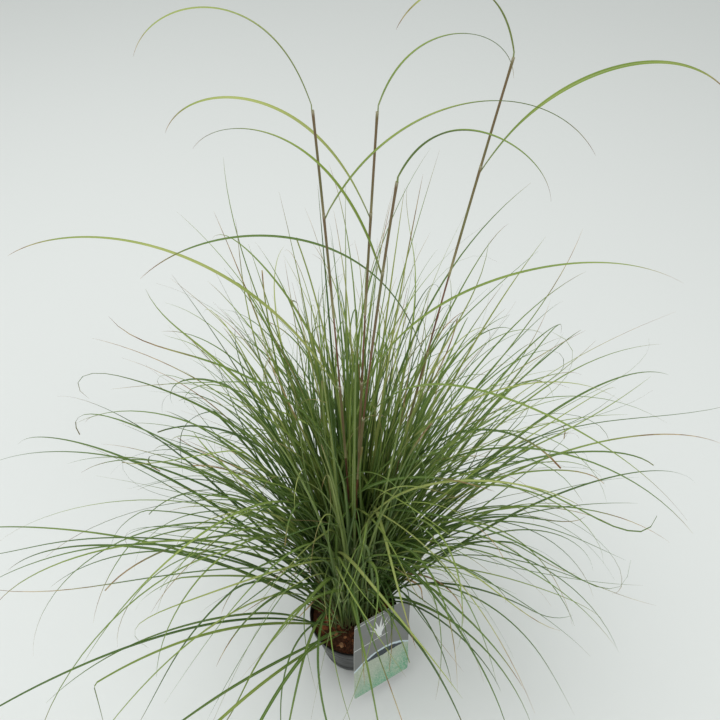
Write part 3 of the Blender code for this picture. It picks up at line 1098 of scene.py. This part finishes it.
def pot(look):
    """The moulded pot: its section turned round, with the drainage holes cut out."""
    places = [(radius, 0.0, height) for radius, height in pot_profile()]
    mesh = bpy.data.meshes.new("moulded_pot")
    mesh.from_pydata(places, [(k, k + 1) for k in range(len(places) - 1)], [])
    thing = put_in_scene("moulded_pot", mesh)
    turn = thing.modifiers.new("turn", "SCREW")
    turn.steps = POT_STEPS
    turn.render_steps = POT_STEPS
    turn.use_merge_vertices = True
    turn.merge_threshold = 0.00002
    cutters = drain_cutters()
    for cutter in cutters:
        thing.modifiers.new("drain", "BOOLEAN").object = cutter
    bpy.context.view_layer.update()
    finished = bpy.data.meshes.new_from_object(
        thing.evaluated_get(bpy.context.evaluated_depsgraph_get())
    )
    for spare in [thing, *cutters]:
        bpy.data.objects.remove(spare)
    finished.name = "moulded_pot"
    finished.materials.clear()
    finished.materials.append(look)
    finished.shade_smooth()
    finished.set_sharp_from_angle(angle=math.radians(38))
    place_piece("moulded_pot", finished, "pot_plastic", "pot")


# ---- label ----


def grass_motif(nodes, u, v):
    """A printed tuft of grass between two lines: 1 where there is ink, at the place (u, v) on the card."""
    calc, times, minus = nodes.calc, nodes.times, nodes.minus
    ink = 0.0
    for spread in (-0.95, -0.55, -0.22, 0.08, 0.42, 0.85):
        rise = minus(v, 0.685)
        bowed = calc("POWER", times(calc("MAXIMUM", rise, 0.0), 4.2), 1.6)
        lean = times(times(bowed, spread), 0.42)
        offset = calc("ABSOLUTE", minus(minus(u, 0.45), lean))
        width = times(minus(0.945 - 0.09 * abs(spread), v), 0.16)
        stroke = times(calc("LESS_THAN", offset, width), calc("GREATER_THAN", rise, 0.0))
        ink = calc("MAXIMUM", ink, stroke)
    for level, slope, end in ((0.965, 0.0, 0.52), (0.655, 0.03, 0.60)):
        line = calc("ABSOLUTE", minus(v, nodes.plus(level, times(u, slope))))
        stroke = times(calc("LESS_THAN", line, 0.0035), calc("LESS_THAN", u, end))
        ink = calc("MAXIMUM", ink, stroke)
    return ink


def label_material():
    """A satin printed card: grey with a grass motif over a band of water and a blur of green."""
    nodes = Nodes("label_print", roughness=0.34, specular=0.5)
    calc, plus, minus, times = nodes.calc, nodes.plus, nodes.minus, nodes.times
    print_map = nodes.node("UVMap")
    print_map.uv_map = "print"
    split = nodes.node("SeparateXYZ", Vector=print_map.outputs["UV"])
    u, v = split.outputs["X"], split.outputs["Y"]
    ripple = times(minus(nodes.noise(70.0, 4.0), 0.5), 0.030)
    arch = plus(0.37, times(u, minus(0.46, times(u, 0.44))))
    over_arch = minus(plus(v, ripple), arch)
    speckle = nodes.noise(330.0, 4.0, rough=0.75)
    leafy = nodes.ramp(
        nodes.noise(28.0, 3.0),
        (0.3, (0.05, 0.27, 0.14)),
        (0.5, (0.12, 0.36, 0.21)),
        (0.7, (0.36, 0.44, 0.31)),
    )
    low_share = nodes.step(plus(v, times(u, -0.22)), -0.10, 0.26, 0.0, 0.85)
    planting = nodes.mix(low_share, leafy, (0.40, 0.42, 0.34))
    planting = nodes.mix(nodes.step(speckle, 0.42, 0.60, 0.0, 0.65), planting, (0.50, 0.54, 0.45))
    fine = nodes.noise(700.0, 3.0, rough=0.8)
    planting = nodes.mix(nodes.step(fine, 0.50, 0.66, 0.0, 0.55), planting, (0.10, 0.20, 0.13))
    lens_depth = times(0.085, calc("SINE", times(minus(u, 0.10), 3.6), clamp=True))
    in_lens = calc("GREATER_THAN", plus(over_arch, lens_depth), 0.0)
    picture = nodes.mix(in_lens, planting, (0.016, 0.026, 0.034))
    grey = nodes.mix(nodes.step(speckle, 0.3, 0.7, 0.0, 0.18), (0.155, 0.160, 0.152), (0.24, 0.245, 0.235))
    picture = nodes.mix(calc("GREATER_THAN", over_arch, 0.0), picture, grey)
    wave = nodes.step(calc("ABSOLUTE", over_arch), 0.008, 0.016, 1.0, 0.0)
    picture = nodes.mix(wave, picture, (0.52, 0.62, 0.66))
    nodes.colour(nodes.mix(grass_motif(nodes, u, v), picture, (0.66, 0.68, 0.66)))
    nodes.rough(nodes.step(nodes.noise(60.0, 3.0), 0.3, 0.7, 0.28, 0.42))
    return nodes.material


def label_back_material():
    nodes = Nodes("label_back", roughness=0.45, specular=0.4)
    stains = nodes.step(nodes.noise(40.0, 4.0), 0.35, 0.7, 0.0, 0.4)
    nodes.colour(nodes.mix(stains, (0.60, 0.61, 0.58), (0.47, 0.47, 0.43)))
    return nodes.material


def eased(share):
    """Spaces a grid closer towards both of its ends, where the card's corners are round."""
    return 0.5 - 0.5 * math.cos(math.pi * share)


def card_point(across, up, side):
    """A point of the bowed card at these shares of its width and height, on its front or back."""
    bottom = LABEL_ABOVE_RIM - LABEL_HEIGHT
    x = (across - 0.5) * LABEL_WIDTH
    y = bottom + LABEL_HEIGHT * up
    from_side = LABEL_WIDTH / 2 - abs(x)
    from_end = min(y - bottom, LABEL_ABOVE_RIM - y)
    if from_side < LABEL_CORNER and from_end < LABEL_CORNER:
        reach = LABEL_CORNER - math.sqrt(max(LABEL_CORNER**2 - (LABEL_CORNER - from_end) ** 2, 0.0))
        x = math.copysign(min(abs(x), LABEL_WIDTH / 2 - reach), x)
    over_rim = max(y, 0.0) / LABEL_ABOVE_RIM
    bow = LABEL_BOW * over_rim * over_rim + LABEL_CUP * (x / (LABEL_WIDTH / 2)) ** 2 * over_rim
    return Vector((x, y, side * LABEL_THICKNESS / 2 + bow))


def card(bm):
    """The card: a fine grid in front and one behind, which carry the print's UV map, and their edge."""
    uv = bm.loops.layers.uv.new("print")
    across = [eased(k / CARD_COLUMNS) for k in range(CARD_COLUMNS + 1)]
    up = [eased(k / CARD_ROWS) for k in range(CARD_ROWS + 1)]
    front, back = (
        [[bm.verts.new(card_point(x, y, side)) for x in across] for y in up] for side in (1, -1)
    )
    for grid, look in ((front, 0), (back, 1)):
        for row in range(CARD_ROWS):
            for column in range(CARD_COLUMNS):
                spots = [(row, column), (row, column + 1), (row + 1, column + 1), (row + 1, column)]
                if grid is back:
                    spots.reverse()
                face = bm.faces.new([grid[r][c] for r, c in spots])
                face.material_index = look
                for loop, (r, c) in zip(face.loops, spots):
                    loop[uv].uv = (across[c], up[r])
    border = [(0, c) for c in range(CARD_COLUMNS)] + [(r, CARD_COLUMNS) for r in range(CARD_ROWS)]
    border += [(CARD_ROWS, c) for c in range(CARD_COLUMNS, 0, -1)]
    border += [(r, 0) for r in range(CARD_ROWS, 0, -1)]
    for (r0, c0), (r1, c1) in zip(border, border[1:] + border[:1]):
        face = bm.faces.new((front[r1][c1], front[r0][c0], back[r0][c0], back[r1][c1]))
        face.material_index = 1


def tongue(bm):
    """The tab that leaves the card over the rim and hooks down inside the pot."""
    clear = LABEL_THICKNESS / 2 + GAP
    root = TONGUE_RISE * math.tan(LABEL_LEAN) - clear
    foot = SOIL_TOP - POT_HEIGHT - 0.001
    under = TONGUE_RISE - LABEL_THICKNESS
    far = TONGUE_INWARDS + LABEL_THICKNESS
    outline = [
        (root, under),
        (TONGUE_INWARDS - LABEL_THICKNESS, under),
        (TONGUE_INWARDS, TONGUE_RISE - 2 * LABEL_THICKNESS),
        (TONGUE_INWARDS, foot),
        (far, foot),
        (far, under),
        (TONGUE_INWARDS, TONGUE_RISE),
        (root, TONGUE_RISE),
    ]
    left, right = (
        [bm.verts.new((x, -RIM_RADIUS + inwards, POT_HEIGHT + up)) for inwards, up in outline]
        for x in (-TONGUE_WIDTH / 2, TONGUE_WIDTH / 2)
    )
    made = [bm.faces.new(left), bm.faces.new(list(reversed(right)))]
    for k in range(len(outline)):
        following = (k + 1) % len(outline)
        made.append(bm.faces.new((left[following], left[k], right[k], right[following])))
    for face in made:
        face.material_index = 1
    bmesh.ops.recalc_face_normals(bm, faces=made)


def label(front, back):
    """The printed card in its place against the rim, with its tongue."""
    bm = bmesh.new()
    card(bm)
    bmesh.ops.transform(bm, matrix=label_place(), verts=bm.verts)
    tongue(bm)
    mesh = mesh_from(bm, "picture_label", front, back)
    mesh.shade_smooth()
    mesh.set_sharp_from_angle(angle=math.radians(40))
    place_piece("picture_label", mesh, "label_card", "plant_label")


# ---- floor, light and camera ----


def stage():
    nodes = Nodes("pale_floor", roughness=0.75, specular=0.2)
    nodes.colour((0.72, 0.74, 0.73))
    bm = bmesh.new()
    bmesh.ops.create_grid(bm, x_segments=1, y_segments=1, size=FLOOR_HALF_SIDE)
    floor = put_in_scene("floor", mesh_from(bm, "floor", nodes.material))
    floor.location.z = -FLOOR_GAP


def area_light(name, place, target, size, power):
    lamp = bpy.data.lights.new(name, "AREA")
    lamp.shape = "DISK"
    lamp.size = size
    lamp.energy = power
    thing = put_in_scene(name, lamp)
    thing.location = place
    thing.rotation_euler = (Vector(target) - Vector(place)).to_track_quat("-Z", "Y").to_euler()


def lights():
    world = bpy.data.worlds.new("studio")
    world.use_nodes = True
    background = world.node_tree.nodes["Background"]
    background.inputs["Color"].default_value = (0.97, 1.0, 0.98, 1.0)
    background.inputs["Strength"].default_value = 0.64
    bpy.context.scene.world = world
    area_light("overhead", (-0.7, 1.0, 4.2), (0.0, 0.0, 0.3), 4.0, 95)
    area_light("front", (0.6, -3.2, 2.8), (0.0, 0.0, 0.3), 2.2, 26)


def camera():
    """The photograph's view, as solved from the corners of the tray that the pot stands in there."""
    yaw, down = math.radians(38), math.radians(45)
    over_rim = 1.33
    back = 0.482 * over_rim
    aside = 0.012
    ahead = Vector((math.sin(yaw), math.cos(yaw), 0.0))
    right = Vector((math.cos(yaw), -math.sin(yaw), 0.0))
    lens = bpy.data.cameras.new("camera")
    lens.lens = 36.05
    lens.sensor_width = 36.0
    eye = put_in_scene("camera", lens)
    eye.location = -ahead * back + right * aside + Vector((0.0, 0.0, POT_HEIGHT + over_rim))
    eye.rotation_euler = (math.pi / 2 - down, 0.0, -yaw)
    bpy.context.scene.camera = eye


def main():
    camera()
    lights()
    stage()
    bpy.context.scene.view_settings.view_transform = "Standard"
    looks = {"blade": blade_material(), "sheath": sheath_material(), "cane": cane_material()}
    pot(pot_material())
    compost(soil_material())
    bark_chips(bark_material())
    coir_fibres(fibre_material())
    label(label_material(), label_back_material())
    grass(looks)


main()
